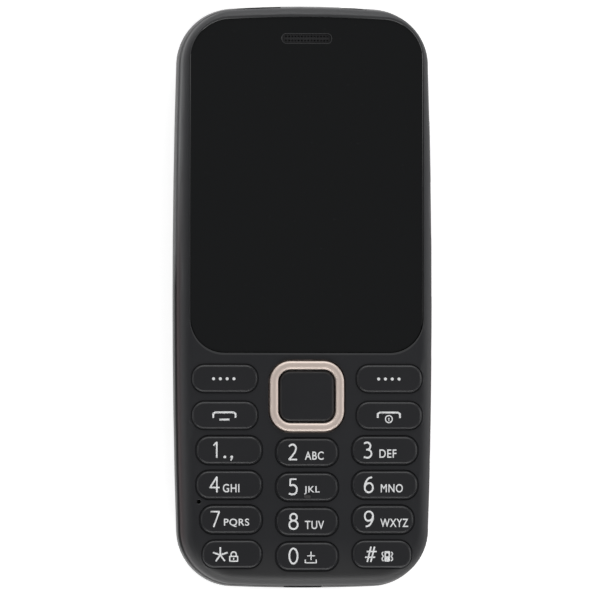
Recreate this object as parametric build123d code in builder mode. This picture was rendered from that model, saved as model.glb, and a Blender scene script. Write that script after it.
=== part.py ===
from build123d import *
import os

# A slim bar phone: a 2.4 inch screen over a number keypad, with a lift-off battery cover.
# The phone lies on its back. X is its width, Y its length towards the earpiece and Z its
# thickness towards the screen. The origin is under its middle, and lengths are millimetres.

os.makedirs("parts", exist_ok=True)

# Outer body
phone_length = 118.0
phone_width = 52.6
side_bow = 1.1  # swell of the long sides between the corners
top_crown = 1.5  # swell of the top end
foot_crown = 0.9  # swell of the bottom end
corner_radius = 11.5
back_radius = 4.6
front_radius = 2.6
front_step = 0.4  # the front housing stands in from the battery cover
seam_inset = 0.75  # the rear housing shows as a line this deep in the seam
side_wall = 1.0
cover_wall = 1.2
rear_wall = 0.9
cover_clearance = 0.25  # between the cover and the rear housing inside it
seam_clearance = 0.05
cover_lip_radius = 0.35

# Thickness, from the back to the front
battery_clearance = 0.2
battery_thickness = 4.4
bay_floor = 0.8
rim_rise = 0.25  # from the bay floor to the rim in the seam
rim_thickness = 0.4
socket_space = 1.5  # between the bay floor and the board
board_thickness = 0.8
board_clearance = 0.3
touch_clearance = 0.05  # between pieces that lie on each other

# Screen
display_thickness = 2.1
gasket_least = 0.3
ledge_thickness = 0.6
tape_thickness = 0.1
window_thickness = 0.9
window_recess = 0.2
window_crown = 1.0  # swell of its upper edge
window_side_margin = 2.4
window_end_margin = 2.13
window_top_radius = 8.4
window_bottom_radius = 7.0
window_clearance = 0.08
window_to_soft_keys = 5.1  # from the window's lower edge to the middle of the soft keys
window_edge_radius = 0.35
display_side_margin = 2.55
display_end_margin = 9.6
display_foot_margin = 2.9
display_glass_border = 2.6
tape_width = 1.5
flex_width = 14.0
flex_thickness = 0.12

# Earpiece
earpiece_from_end = 6.7
earpiece_width = 10.2
earpiece_height = 1.75
earpiece_corner = 0.8
earpiece_edge_radius = 0.2
earpiece_recess = 0.3
mesh_thickness = 0.3
mesh_clearance = 0.06
mesh_bar = 0.35
mesh_bars = 14
receiver_width = 14.0
receiver_height = 5.4
receiver_thickness = 1.9
receiver_corner = 1.2

# Keypad
plate_thickness = 1.3
key_height = 5.6
key_corner = 2.55
key_rise = 0.4
key_edge_radius = 0.6
key_gap = 0.2
key_flange = 0.35
key_flange_thickness = 0.5
key_travel = 0.35
key_rest_gap = 0.1
key_hole_edge = 0.12
row_pitch = 7.02
last_row_from_end = 6.77
middle_drop = 0.43  # the middle column sits lower than the outer ones
middle_width = 12.64
column_gap = 2.93
row_margins = (3.7, 3.7, 4.48, 4.91)  # from the phone's side to the outer keys, row by row
control_pitch = 7.05
soft_pitch = 7.46
control_inner = 10.09
control_margin = 2.77
boss_width = 4.0
boss_height = 2.4
nib_width = 1.6
nib_height = 0.8
nib_drop = 1.95
nib_rise = 0.15
nib_root = 0.5

# Navigation keys
ring_width = 15.1
ring_height = 14.2
ring_band = 1.62
ring_corner = 4.2
ring_rise = 0.65
ring_edge_radius = 0.55
ring_gap = 0.3
ring_shift = 0.15
ring_flange = 0.6
ring_flange_thickness = 0.5
ring_flange_gap = 0.4
rocker_gap = 0.3
rocker_thickness = 0.3
rocker_hole = 8.0
nav_key_rise = 0.35
nav_key_edge_radius = 0.7

# Under the keys
dome_film = 0.1
dome_height = 0.3
dome_radius = 2.0
dome_slope = 45  # degrees
mat_thickness = 0.6
mat_pad_height = 0.4
mat_margin = 0.9
nav_dome_reach = 5.9
key_light_width = 1.6
key_light_depth = 0.8
key_light_height = 0.35

# Screws and posts
screw_radius = 0.75
screw_head_radius = 1.4
screw_head_height = 1.1
screw_length = 5.0
screw_clearance = 0.1
screw_cross_width = 0.35
screw_cross_depth = 0.5
post_radius = 1.8
column_radius = 2.4
column_wall_under_head = 2.1
side_screw_inset = 5.3
top_screw_side_inset = 9.3
top_screw_end_inset = 8.5

# Battery and its bay
bay_wall = 0.9
battery_side_clearance = 0.3
upper_block = 49.0  # from the top end to the battery
lower_block = 19.0  # from the bottom end to the battery
battery_edge = 0.9
contact_spread = 2.6
contact_width = 1.1
contact_thickness = 0.25
contact_rise = 1.6
contact_block_width = 9.0
contact_block_depth = 3.4
contact_block_height = 4.2

# Pieces under the board
sim_depth = 13.2
sim_height = 1.3
sim_wall = 0.25
sim_side_margin = 1.75
sim_gap = 1.4
sim_end_gap = 1.0
card_width = 12.6
card_depth = 11.6
card_gap = 1.2
floor_window_margin = 1.6
shield_width = 27.0
shield_depth = 13.0
shield_gap = 1.2  # from the charging socket
shield_corner = 1.0
speaker_radius = 8.0
speaker_thickness = 3.4
speaker_rim = 1.2
speaker_cone_depth = 0.8
speaker_from_end = 30.5
grille_slots = 5
grille_pitch = 2.4
grille_slot_width = 1.0
grille_slot_length = 9.0
motor_side_inset = 10.1
motor_from_end = 25.0
motor_radius = 2.0
motor_length = 7.0
motor_drop = 2.9
motor_foot = 3.0
shaft_radius = 0.4
shaft_clearance = 0.05
weight_radius = 2.4
weight_length = 3.2
weight_gap = 0.4
weight_hub = 0.9
jack_from_column = 1.1
jack_width = 6.0
jack_height = 5.0
jack_length = 11.0
jack_bore = 1.8
jack_collar = 2.5
jack_recess = 0.1  # the collar follows the top end, this far in
jack_seat = 0.3  # flat ring round the bore's mouth
jack_clearance = 0.15
jack_setback = 0.5  # the block stands clear of the rolled end of the rear housing
usb_width = 7.5
usb_height = 2.6
usb_length = 5.6
usb_shell = 0.3
usb_tongue_width = 3.8
usb_tongue_height = 0.6
usb_recess = 0.5
usb_clearance = 0.15
usb_corner = 0.8
mic_side_inset = 4.2
mic_from_end = 17.4
mic_hole = 0.43
mic_size = 2.5
mic_thickness = 1.0
antenna_side_inset = 9.3
antenna_depth = 8.5
antenna_thickness = 0.3
antenna_from_end = 10.5
antenna_slits = 3
antenna_slit = 1.4

# Camera and torch on the back
camera_from_column = 1.6
camera_from_end = 13.0
camera_size = 8.0
camera_barrel = 2.9
camera_barrel_length = 1.4
camera_lens = 1.2
camera_lens_depth = 0.5
torch_gap_share = 0.3118  # of the room left between the camera and the headphone jack
torch_size = 3.2
torch_dome = 1.1
glass_end = 5.0  # from the middle of the camera or the torch to its end
glass_height = 9.0
glass_thickness = 0.7
glass_clearance = 0.08
glass_ledge = 1.2
nail_notch_width = 12.0
nail_notch_depth = 0.6
nail_notch_height = 0.9
tongue_width = 6.0
tongue_thickness = 0.7
tongue_drop = 1.3
tongue_side_inset = 15.5
tongue_root = 1.2
end_opening_depth = 9.5  # how deep the sockets' openings are cut, from outside each end
overrun = 1.0  # how far a cut runs past the surface that it opens

# Levels worked out from the stack
half_length = phone_length / 2
half_width = phone_width / 2
battery_low = cover_wall + battery_clearance
battery_high = battery_low + battery_thickness
floor_low = battery_high + battery_clearance
floor_high = floor_low + bay_floor
rim_low = floor_high + rim_rise
rim_high = rim_low + rim_thickness
cover_high = rim_low - seam_clearance
board_low = floor_high + socket_space
board_high = board_low + board_thickness
rear_inset = cover_wall + cover_clearance
rear_low = rear_inset
block_low = rear_low + rear_wall
mat_low = board_high + dome_film + dome_height + touch_clearance
mat_high = mat_low + mat_thickness
keypad_stack = (mat_high - board_high + rocker_gap * 2 + rocker_thickness
                + ring_flange_thickness + ring_flange_gap + plate_thickness)
window_stack = ledge_thickness + tape_thickness + window_thickness + window_recess
screen_stack = touch_clearance + display_thickness + gasket_least + window_stack
front_face = board_high + max(keypad_stack, screen_stack)
plate_low = front_face - plate_thickness
window_high = front_face - window_recess
window_low = window_high - window_thickness
ledge_high = window_low - tape_thickness
ledge_low = ledge_high - ledge_thickness
display_low = board_high + touch_clearance
display_high = display_low + display_thickness


# How far the crowned end has dropped at a distance from the middle line
def end_drop(x, inset, crown):
    return crown * (x / (half_width - side_bow - inset)) ** 2


# Places worked out from the outline
top_row_y = -half_length + last_row_from_end + row_pitch * (len(row_margins) - 1)
call_y = top_row_y + control_pitch
soft_y = call_y + soft_pitch
nav_y = (soft_y + call_y) / 2 + ring_shift
window_foot_y = soft_y + window_to_soft_keys
window_top_y = half_length - window_end_margin
window_half = half_width - window_side_margin
display_top_y = window_top_y - display_end_margin
display_foot_y = window_foot_y + display_foot_margin
display_y = (display_top_y + display_foot_y) / 2
display_length = display_top_y - display_foot_y
display_half = window_half - display_side_margin
earpiece_y = half_length - earpiece_from_end
soft_flange_y = soft_y + key_height / 2 + key_flange
keypad_room_y = nav_y + ring_height / 2 + ring_flange + board_clearance
mat_top_y = nav_y + nav_dome_reach + dome_radius + touch_clearance
top_screw_x = half_width - top_screw_side_inset
screw_places = [
    (side * x, y)
    for x, y in (
        (half_width - side_screw_inset, (display_foot_y + soft_flange_y) / 2),
        (top_screw_x, half_length - top_screw_end_inset),
    )
    for side in (-1, 1)
]
bay_half = half_width - side_screw_inset - column_radius + bay_wall / 2
battery_half = bay_half - bay_wall - battery_side_clearance
battery_top_y = half_length - upper_block
battery_foot_y = -half_length + lower_block
battery_y = (battery_top_y + battery_foot_y) / 2
battery_length = battery_top_y - battery_foot_y
battery_grow = battery_side_clearance * 2
sim_width = battery_half - sim_side_margin - sim_gap / 2
sim_spread = (sim_width + sim_gap) / 2
sim_y = battery_top_y - sim_end_gap - sim_depth / 2
card_y = sim_y - sim_depth / 2 - card_gap - card_depth / 2
column_edge_x = top_screw_x - column_radius
jack_x = column_edge_x - jack_from_column - jack_width / 2
camera_x = camera_size / 2 + camera_from_column - column_edge_x
camera_edge_x = camera_x + camera_size / 2
torch_room = jack_x - jack_width / 2 - camera_edge_x - torch_size
torch_x = camera_edge_x + torch_room * torch_gap_share + torch_size / 2
screw_seat = board_low - column_wall_under_head
jack_z = board_low - jack_height / 2
jack_mouth_y = half_length - end_drop(jack_x + jack_collar, 0, top_crown) - jack_recess
jack_block_drop = end_drop(jack_x + jack_width / 2, rear_inset + rear_wall, top_crown)
jack_block_y = half_length - jack_block_drop - rear_inset - rear_wall - jack_setback
usb_z = board_low - usb_height / 2
usb_mouth_y = -half_length + usb_recess
shield_y = usb_mouth_y + usb_length + shield_gap + shield_depth / 2
mic_x = half_width - mic_side_inset
mic_y = -half_length + mic_from_end
camera_y = half_length - camera_from_end
speaker_y = half_length - speaker_from_end
motor_x = half_width - motor_side_inset
motor_y = half_length - motor_from_end
motor_z = board_low - motor_drop
glass_x = (camera_x + torch_x) / 2
glass_length = torch_x - camera_x + glass_end * 2
key_top = front_face + key_rise
key_foot = mat_high + mat_pad_height + key_rest_gap + key_travel
flange_high = plate_low - touch_clearance
flange_low = flange_high - key_flange_thickness
ring_flange_high = plate_low - ring_flange_gap
ring_flange_low = ring_flange_high - ring_flange_thickness
rocker_high = ring_flange_low - rocker_gap
rocker_low = rocker_high - rocker_thickness


# The phone's outline: bowed sides, crowned ends and round corners
def outline_face(inset):
    side = half_width - inset
    end = half_length - inset
    corner_x = side - side_bow
    top_y = end - top_crown
    foot_y = foot_crown - end
    with BuildSketch() as outline:
        with BuildLine():
            ThreePointArc((corner_x, foot_y), (side, 0), (corner_x, top_y))
            ThreePointArc((corner_x, top_y), (0, end), (-corner_x, top_y))
            ThreePointArc((-corner_x, top_y), (-side, 0), (-corner_x, foot_y))
            ThreePointArc((-corner_x, foot_y), (0, -end), (corner_x, foot_y))
        make_face()
        fillet(outline.vertices(), corner_radius - inset)
    return outline.sketch


# A slab of that outline between two levels
def body_slab(inset, low, high):
    with BuildPart() as slab:
        with BuildSketch(Plane.XY.offset(low)):
            add(outline_face(inset))
        extrude(amount=high - low)
    return slab.part


# The back half of the body, rolled over at its lower edge
def back_body(inset, high):
    with BuildPart() as body:
        add(body_slab(inset, inset, high))
        fillet(body.edges().group_by(Axis.Z)[0], back_radius - inset)
    return body.part


# The front half of the body, rolled over at its upper edge
def front_body(inset, low, high):
    with BuildPart() as body:
        add(body_slab(front_step + inset, low, high))
        fillet(body.edges().group_by(Axis.Z)[-1], front_radius - inset)
    return body.part


# The window's outline, whose upper edge follows the phone's crowned end
def window_face(grow):
    side = window_half + grow
    top = window_top_y + grow
    foot = window_foot_y - grow
    with BuildSketch() as outline:
        with BuildLine():
            Polyline((-side, top - window_crown), (-side, foot), (side, foot), (side, top - window_crown))
            ThreePointArc((side, top - window_crown), (0, top), (-side, top - window_crown))
        make_face()
        corners = outline.vertices().sort_by(Axis.Y)
        fillet(corners[:2], window_bottom_radius + grow)
        fillet(outline.vertices().sort_by(Axis.Y)[-2:], window_top_radius + grow)
    return outline.sketch


# A block with round corners, centred on a place between two levels
def rounded_block(x, y, width, height, radius, low, high):
    with BuildPart() as block:
        with BuildSketch(Plane.XY.offset(low)):
            with Locations((x, y)):
                RectangleRounded(width, height, radius)
        extrude(amount=high - low)
    return block.part


# A plain block between two levels
def plain_block(x, y, width, height, low, high):
    with BuildPart() as block:
        with BuildSketch(Plane.XY.offset(low)):
            with Locations((x, y)):
                Rectangle(width, height)
        extrude(amount=high - low)
    return block.part


# Upright round pieces at a list of places
def round_posts(places, radius, low, high):
    with BuildPart() as posts:
        with BuildSketch(Plane.XY.offset(low)):
            with Locations(*places):
                Circle(radius)
        extrude(amount=high - low)
    return posts.part


# The keys: name, middle, width
def outer_key(inner, margin):
    outer = half_width - margin
    return (inner + outer) / 2, outer - inner


soft_x, control_width = outer_key(control_inner, control_margin)
keys = {
    "soft_key_left": (-soft_x, soft_y, control_width),
    "soft_key_right": (soft_x, soft_y, control_width),
    "call_key": (-soft_x, call_y, control_width),
    "end_key": (soft_x, call_y, control_width),
}
row_names = (
    ("key_1", "key_2", "key_3"),
    ("key_4", "key_5", "key_6"),
    ("key_7", "key_8", "key_9"),
    ("key_star", "key_0", "key_hash"),
)
for row, names in enumerate(row_names):
    row_y = top_row_y - row * row_pitch
    side_x, side_width = outer_key(middle_width / 2 + column_gap, row_margins[row])
    keys[names[0]] = (-side_x, row_y, side_width)
    keys[names[1]] = (0, row_y - middle_drop, middle_width)
    keys[names[2]] = (side_x, row_y, side_width)

key_places = [(x, y) for x, y, width in keys.values()]
nav_dome_places = [
    (0, nav_y),
    (nav_dome_reach, nav_y),
    (-nav_dome_reach, nav_y),
    (0, nav_y + nav_dome_reach),
    (0, nav_y - nav_dome_reach),
]
key_light_x = middle_width / 2 + column_gap / 2
key_light_places = [
    (side * key_light_x, top_row_y - row * row_pitch)
    for row in range(len(row_names))
    for side in (-1, 1)
]

# Openings in the two ends for the headphone jack and the charging socket
with BuildPart() as jack_opening:
    with BuildSketch(Plane.XZ.offset(-half_length - overrun)):
        with Locations((jack_x, jack_z)):
            Circle(jack_collar + jack_clearance)
    extrude(amount=end_opening_depth)
with BuildPart() as usb_opening:
    with BuildSketch(Plane.XZ.offset(half_length + overrun)):
        with Locations((0, usb_z)):
            RectangleRounded(usb_width + usb_clearance * 2, usb_height + usb_clearance * 2, usb_corner)
    extrude(amount=-end_opening_depth)

# Front housing
tongue_x = half_width - tongue_side_inset
keypad_room = plain_block(0, (keypad_room_y - half_length) / 2, phone_width, half_length + keypad_room_y,
                          rim_high - overrun, plate_low)
keypad_hollow = body_slab(front_step + side_wall, rim_high - overrun, plate_low) & keypad_room
tongue_y = (tongue_thickness / 2 + rear_inset + rear_wall + touch_clearance - half_length
            + end_drop(tongue_x + tongue_width / 2, rear_inset + rear_wall, foot_crown))
tongue_root_y = (front_step + touch_clearance - half_length
                 + end_drop(tongue_x + tongue_width / 2, front_step, foot_crown))
with BuildPart() as front_housing:
    add(front_body(0, rim_high, front_face))
    add(front_body(side_wall, rim_high - overrun, ledge_low), mode=Mode.SUBTRACT)
    add(keypad_hollow, mode=Mode.SUBTRACT)
    with BuildSketch(Plane.XY.offset(ledge_high)):
        add(window_face(window_clearance))
    extrude(amount=front_face - ledge_high + overrun, mode=Mode.SUBTRACT)
    with BuildSketch(Plane.XY.offset(ledge_low - overrun)):
        with Locations((0, display_y)):
            Rectangle((display_half - display_glass_border) * 2, display_length - display_glass_border * 2)
        with Locations((0, earpiece_y)):
            RectangleRounded(earpiece_width, earpiece_height, earpiece_corner)
    extrude(amount=front_face - ledge_low, mode=Mode.SUBTRACT)
    with BuildSketch(Plane.XY.offset(plate_low - overrun)):
        for x, y, width in keys.values():
            with Locations((x, y)):
                RectangleRounded(width + key_gap * 2, key_height + key_gap * 2, key_corner + key_gap)
        with Locations((0, nav_y)):
            RectangleRounded(ring_width + ring_gap * 2, ring_height + ring_gap * 2, ring_corner + ring_gap)
        with Locations((-mic_x, mic_y)):
            Circle(mic_hole)
    extrude(amount=plate_thickness + overrun * 2, mode=Mode.SUBTRACT)
    add(round_posts(screw_places, post_radius, board_high, plate_low))
    add(round_posts(screw_places, screw_radius + touch_clearance, board_high - overrun,
                    board_high + screw_length - column_wall_under_head + touch_clearance),
        mode=Mode.SUBTRACT)
    add(jack_opening.part, mode=Mode.SUBTRACT)
    add(usb_opening.part, mode=Mode.SUBTRACT)
    for side in (-1, 1):
        add(plain_block(side * tongue_x, tongue_y, tongue_width, tongue_thickness,
                        rim_low - tongue_drop, rim_high + tongue_root))
        add(plain_block(side * tongue_x, (tongue_root_y + tongue_y) / 2,
                        tongue_width, tongue_y - tongue_root_y, rim_high, rim_high + tongue_root))
    hole_edges = [
        edge
        for wire in front_housing.faces().filter_by(Axis.Z).sort_by(Axis.Z)[-1].inner_wires()
        for edge in wire.edges()
    ]
    chamfer(hole_edges, key_hole_edge)
front_housing.part.label = "front_housing"

# Display window
with BuildPart() as display_window:
    with BuildSketch(Plane.XY.offset(window_low)):
        add(window_face(0))
    extrude(amount=window_thickness)
    fillet(display_window.edges().group_by(Axis.Z)[-1], window_edge_radius)
    with BuildSketch(Plane.XY.offset(window_low)):
        with Locations((0, earpiece_y)):
            RectangleRounded(earpiece_width, earpiece_height, earpiece_corner)
    extrude(amount=window_thickness, mode=Mode.SUBTRACT)
    slot_wire = display_window.faces().filter_by(Axis.Z).sort_by(Axis.Z)[-1].inner_wires()[0]
    fillet(slot_wire.edges(), earpiece_edge_radius)
display_window.part.label = "display_window"

# Tape that holds the window on its ledge
with BuildPart() as window_tape:
    with BuildSketch(Plane.XY.offset(ledge_high)):
        add(window_face(-touch_clearance))
        with Locations((0, display_y)):
            Rectangle((display_half - display_glass_border) * 2 + tape_width,
                      display_length - display_glass_border * 2 + tape_width, mode=Mode.SUBTRACT)
        with Locations((0, earpiece_y)):
            RectangleRounded(earpiece_width + tape_width, earpiece_height + tape_width, earpiece_corner,
                             mode=Mode.SUBTRACT)
    extrude(amount=tape_thickness)
window_tape.part.label = "window_tape"

# Earpiece mesh, a pierced plate set down in the window's slot
mesh_width = earpiece_width - mesh_clearance * 2
mesh_height = earpiece_height - mesh_clearance * 2
mesh_pitch = (mesh_width - earpiece_corner * 2) / (mesh_bars - 1)
with BuildPart() as earpiece_mesh:
    with BuildSketch(Plane.XY.offset(window_high - earpiece_recess - mesh_thickness)):
        with Locations((0, earpiece_y)):
            RectangleRounded(mesh_width, mesh_height, earpiece_corner - mesh_clearance)
            with GridLocations(mesh_pitch, mesh_height / 2, mesh_bars, 2):
                Rectangle(mesh_bar, mesh_bar, mode=Mode.SUBTRACT)
    extrude(amount=mesh_thickness)
    with BuildSketch(Plane.XY.offset(ledge_high)):
        with Locations((0, earpiece_y)):
            RectangleRounded(mesh_width, mesh_height, earpiece_corner - mesh_clearance)
            Rectangle(mesh_width - earpiece_corner * 2, mesh_height - mesh_bar * 2, mode=Mode.SUBTRACT)
    extrude(amount=window_high - earpiece_recess - mesh_thickness - ledge_high)
earpiece_mesh.part.label = "earpiece_mesh"

# Earpiece receiver under the ledge
with BuildPart() as earpiece_receiver:
    add(rounded_block(0, earpiece_y, receiver_width, receiver_height, receiver_corner,
                      ledge_low - touch_clearance - receiver_thickness, ledge_low - touch_clearance))
earpiece_receiver.part.label = "earpiece_receiver"

# Display module and what holds and feeds it
with BuildPart() as display_module:
    add(plain_block(0, display_y, display_half * 2, display_length, display_low, display_high))
    chamfer(display_module.edges().group_by(Axis.Z)[-1], touch_clearance)
display_module.part.label = "display_module"

with BuildPart() as display_gasket:
    with BuildSketch(Plane.XY.offset(display_high)):
        with Locations((0, display_y)):
            Rectangle(display_half * 2, display_length)
            Rectangle((display_half - display_glass_border) * 2, display_length - display_glass_border * 2,
                      mode=Mode.SUBTRACT)
    extrude(amount=ledge_low - display_high)
display_gasket.part.label = "display_gasket"

with BuildPart() as display_flex:
    add(plain_block(0, (display_foot_y + mat_top_y + board_clearance) / 2, flex_width,
                    display_foot_y - mat_top_y - board_clearance, board_high, board_high + flex_thickness))
    add(plain_block(0, display_foot_y - flex_thickness, flex_width, flex_thickness * 2,
                    board_high, display_high - display_thickness / 2))
display_flex.part.label = "display_flex"

# Keys: a cap with a soft edge, a flange under the front plate and a foot over the mat
key_parts = {}
for name, (key_x, key_y, key_width) in keys.items():
    with BuildPart() as key:
        add(rounded_block(key_x, key_y, key_width, key_height, key_corner, flange_low, key_top))
        fillet(key.edges().group_by(Axis.Z)[-1], key_edge_radius)
        with BuildSketch(Plane.XY.offset(flange_low)):
            with Locations((key_x, key_y)):
                SlotOverall(key_width + key_flange * 2, key_height + key_flange * 2)
        extrude(amount=key_flange_thickness)
        add(plain_block(key_x, key_y, boss_width, boss_height, key_foot, flange_low))
        if name == "key_5":
            with BuildSketch(Plane.XY.offset(key_top - nib_root)):
                with Locations((key_x, key_y - nib_drop)):
                    SlotOverall(nib_width, nib_height)
            extrude(amount=nib_root + nib_rise)
    key.part.label = name
    key_parts[name] = key.part

# Navigation ring, rocker plate and centre key
with BuildPart() as nav_ring:
    add(rounded_block(0, nav_y, ring_width, ring_height, ring_corner,
                      ring_flange_low, front_face + ring_rise))
    add(rounded_block(0, nav_y, ring_width - ring_band * 2, ring_height - ring_band * 2,
                      ring_corner - ring_band, ring_flange_low, front_face + ring_rise), mode=Mode.SUBTRACT)
    fillet(nav_ring.edges().group_by(Axis.Z)[-1], ring_edge_radius)
    with BuildSketch(Plane.XY.offset(ring_flange_low)):
        with Locations((0, nav_y)):
            RectangleRounded(ring_width + ring_flange * 2, ring_height + ring_flange * 2,
                             ring_corner + ring_flange)
            RectangleRounded(ring_width - ring_band * 2, ring_height - ring_band * 2,
                             ring_corner - ring_band, mode=Mode.SUBTRACT)
    extrude(amount=ring_flange_thickness)
nav_ring.part.label = "nav_ring"

with BuildPart() as nav_rocker_plate:
    with BuildSketch(Plane.XY.offset(rocker_low)):
        with Locations((0, nav_y)):
            RectangleRounded(ring_width + ring_flange, ring_height + ring_flange, ring_corner)
            RectangleRounded(rocker_hole, rocker_hole, ring_corner / 2, mode=Mode.SUBTRACT)
    extrude(amount=rocker_thickness)
nav_rocker_plate.part.label = "nav_rocker_plate"

nav_key_width = ring_width - ring_band * 2 - ring_gap * 2
nav_key_height = ring_height - ring_band * 2 - ring_gap * 2
with BuildPart() as nav_key:
    add(rounded_block(0, nav_y, nav_key_width, nav_key_height, ring_corner - ring_band - ring_gap,
                      flange_low, front_face + nav_key_rise))
    fillet(nav_key.edges().group_by(Axis.Z)[-1], nav_key_edge_radius)
    add(plain_block(0, nav_y, boss_width, boss_width, key_foot, flange_low))
nav_key.part.label = "nav_key"

# Silicone mat with a pad under each key, and the dome sheet on the board
mat_inset = front_step + side_wall + board_clearance + mat_margin
keypad_region = plain_block(0, (mat_top_y - half_length) / 2, phone_width, half_length + mat_top_y,
                            board_high, front_face)
post_holes = round_posts(screw_places, post_radius + board_clearance, board_high, front_face)
with BuildPart() as keypad_mat:
    add(body_slab(mat_inset, mat_low, mat_high))
    with BuildSketch(Plane.XY.offset(mat_high)):
        with Locations(*key_places, (0, nav_y)):
            RectangleRounded(boss_width, boss_height, boss_height / 4)
    extrude(amount=mat_pad_height)
    add(keypad_region, mode=Mode.INTERSECT)
    add(post_holes, mode=Mode.SUBTRACT)
    add(round_posts([(-mic_x, mic_y)], mic_hole * 2, mat_low - overrun, mat_high + overrun),
        mode=Mode.SUBTRACT)
keypad_mat.part.label = "keypad_mat"

with BuildPart() as dome_sheet:
    add(body_slab(mat_inset, board_high, board_high + dome_film))
    with BuildSketch(Plane.XY.offset(board_high + dome_film)):
        with Locations(*key_places, *nav_dome_places):
            Circle(dome_radius)
    extrude(amount=dome_height, taper=dome_slope)
    add(keypad_region, mode=Mode.INTERSECT)
    add(post_holes, mode=Mode.SUBTRACT)
    with BuildSketch(Plane.XY.offset(board_high)):
        with Locations(*key_light_places):
            Rectangle(key_light_width + touch_clearance * 4, key_light_depth + touch_clearance * 4)
        with Locations((-mic_x, mic_y)):
            Circle(mic_hole * 2)
    extrude(amount=dome_film, mode=Mode.SUBTRACT)
dome_sheet.part.label = "dome_sheet"

with BuildPart() as key_lights:
    with BuildSketch(Plane.XY.offset(board_high)):
        with Locations(*key_light_places):
            Rectangle(key_light_width, key_light_depth)
    extrude(amount=key_light_height)
key_lights.part.label = "key_lights"

# Main board
with BuildPart() as main_board:
    add(body_slab(front_step + side_wall + board_clearance, board_low, board_high))
    add(round_posts(screw_places, screw_radius + screw_clearance, board_low, board_high), mode=Mode.SUBTRACT)
    add(round_posts([(-mic_x, mic_y)], mic_hole, board_low, board_high), mode=Mode.SUBTRACT)
    for side in (-1, 1):
        add(plain_block(side * tongue_x, -half_length, tongue_width + board_clearance * 2,
                        (tongue_y + tongue_thickness + half_length) * 2, board_low, board_high),
            mode=Mode.SUBTRACT)
    add(jack_opening.part, mode=Mode.SUBTRACT)
main_board.part.label = "main_board"

# Rear housing: the rim in the seam, the battery bay, the blocks above and below it
floor_windows = [
    (-sim_spread, sim_y, sim_width, sim_depth),
    (sim_spread, sim_y, sim_width, sim_depth),
    (0, card_y, card_width, card_depth),
]
with BuildPart() as rear_housing:
    add(back_body(rear_inset, rim_high))
    add(body_slab(seam_inset, rim_low, rim_high))
    add(back_body(rear_inset + rear_wall, rim_high + overrun), mode=Mode.SUBTRACT)
    add(plain_block(0, battery_y, bay_half * 2, battery_length + (bay_wall + battery_side_clearance) * 2,
                    rear_low, floor_high))
    add(plain_block(0, battery_y, battery_half * 2 + battery_grow, battery_length + battery_grow,
                    rear_low - overrun, floor_low), mode=Mode.SUBTRACT)
    for x, y, width, height in floor_windows:
        add(plain_block(x, y, width - floor_window_margin * 2, height - floor_window_margin * 2,
                        floor_low - overrun, floor_high + overrun), mode=Mode.SUBTRACT)
    add(round_posts(screw_places, column_radius, block_low, board_low))
    add(round_posts(screw_places, screw_head_radius + screw_clearance, rear_low - overrun, screw_seat),
        mode=Mode.SUBTRACT)
    add(round_posts(screw_places, screw_radius + screw_clearance, screw_seat, board_low + overrun),
        mode=Mode.SUBTRACT)
    add(plain_block(0, battery_top_y, contact_block_width,
                    (battery_side_clearance + bay_wall) * 2 + touch_clearance,
                    board_low - contact_block_height - touch_clearance, floor_low), mode=Mode.SUBTRACT)
    add(round_posts([(camera_x, camera_y)], camera_barrel + glass_clearance, 0, block_low + overrun),
        mode=Mode.SUBTRACT)
    add(round_posts([(torch_x, camera_y)], torch_size / 2, 0, block_low + overrun), mode=Mode.SUBTRACT)
    add(round_posts([(0, speaker_y)], speaker_radius - speaker_rim, 0, block_low + overrun),
        mode=Mode.SUBTRACT)
    add(jack_opening.part, mode=Mode.SUBTRACT)
    add(usb_opening.part, mode=Mode.SUBTRACT)
rear_housing.part.label = "rear_housing"

# Battery cover
with BuildPart() as battery_cover:
    add(back_body(0, cover_high))
    fillet(battery_cover.edges().group_by(Axis.Z)[-1], cover_lip_radius)
    add(back_body(cover_wall, cover_high + overrun), mode=Mode.SUBTRACT)
    with BuildSketch(Plane.XY):
        with Locations((0, speaker_y)):
            with GridLocations(0, grille_pitch, 1, grille_slots):
                SlotOverall(grille_slot_length, grille_slot_width)
    extrude(amount=cover_wall + overrun, mode=Mode.SUBTRACT)
    with BuildSketch(Plane.XY):
        with Locations((glass_x, camera_y)):
            SlotOverall(glass_length + glass_clearance * 2, glass_height + glass_clearance * 2)
    extrude(amount=glass_thickness + glass_clearance, mode=Mode.SUBTRACT)
    with BuildSketch(Plane.XY):
        with Locations((glass_x, camera_y)):
            SlotOverall(glass_length - glass_ledge * 2, glass_height - glass_ledge * 2)
    extrude(amount=cover_wall + overrun, mode=Mode.SUBTRACT)
    add(jack_opening.part, mode=Mode.SUBTRACT)
    add(usb_opening.part, mode=Mode.SUBTRACT)
    with BuildSketch(Plane.XZ.offset(-half_length - overrun)):
        with Locations((jack_x, jack_z + jack_collar)):
            Rectangle((jack_collar + jack_clearance) * 2, jack_collar * 2)
    extrude(amount=end_opening_depth, mode=Mode.SUBTRACT)
    add(plain_block(-jack_x, half_length, nail_notch_width, nail_notch_depth * 2,
                    cover_high - nail_notch_height, cover_high + overrun), mode=Mode.SUBTRACT)
battery_cover.part.label = "battery_cover"

# Glass over the camera and the torch, let into the cover
with BuildPart() as camera_window:
    with BuildSketch(Plane.XY.offset(glass_clearance)):
        with Locations((glass_x, camera_y)):
            SlotOverall(glass_length, glass_height)
    extrude(amount=glass_thickness)
camera_window.part.label = "camera_window"

# Camera, torch and loudspeaker in the block above the battery
with BuildPart() as camera_module:
    add(rounded_block(camera_x, camera_y, camera_size, camera_size, shield_corner,
                      block_low + touch_clearance, board_low))
    add(round_posts([(camera_x, camera_y)], camera_barrel, block_low + touch_clearance - rear_wall / 2,
                    block_low + camera_barrel_length))
    add(round_posts([(camera_x, camera_y)], camera_lens, block_low - overrun, block_low + camera_lens_depth),
        mode=Mode.SUBTRACT)
camera_module.part.label = "camera_module"

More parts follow.
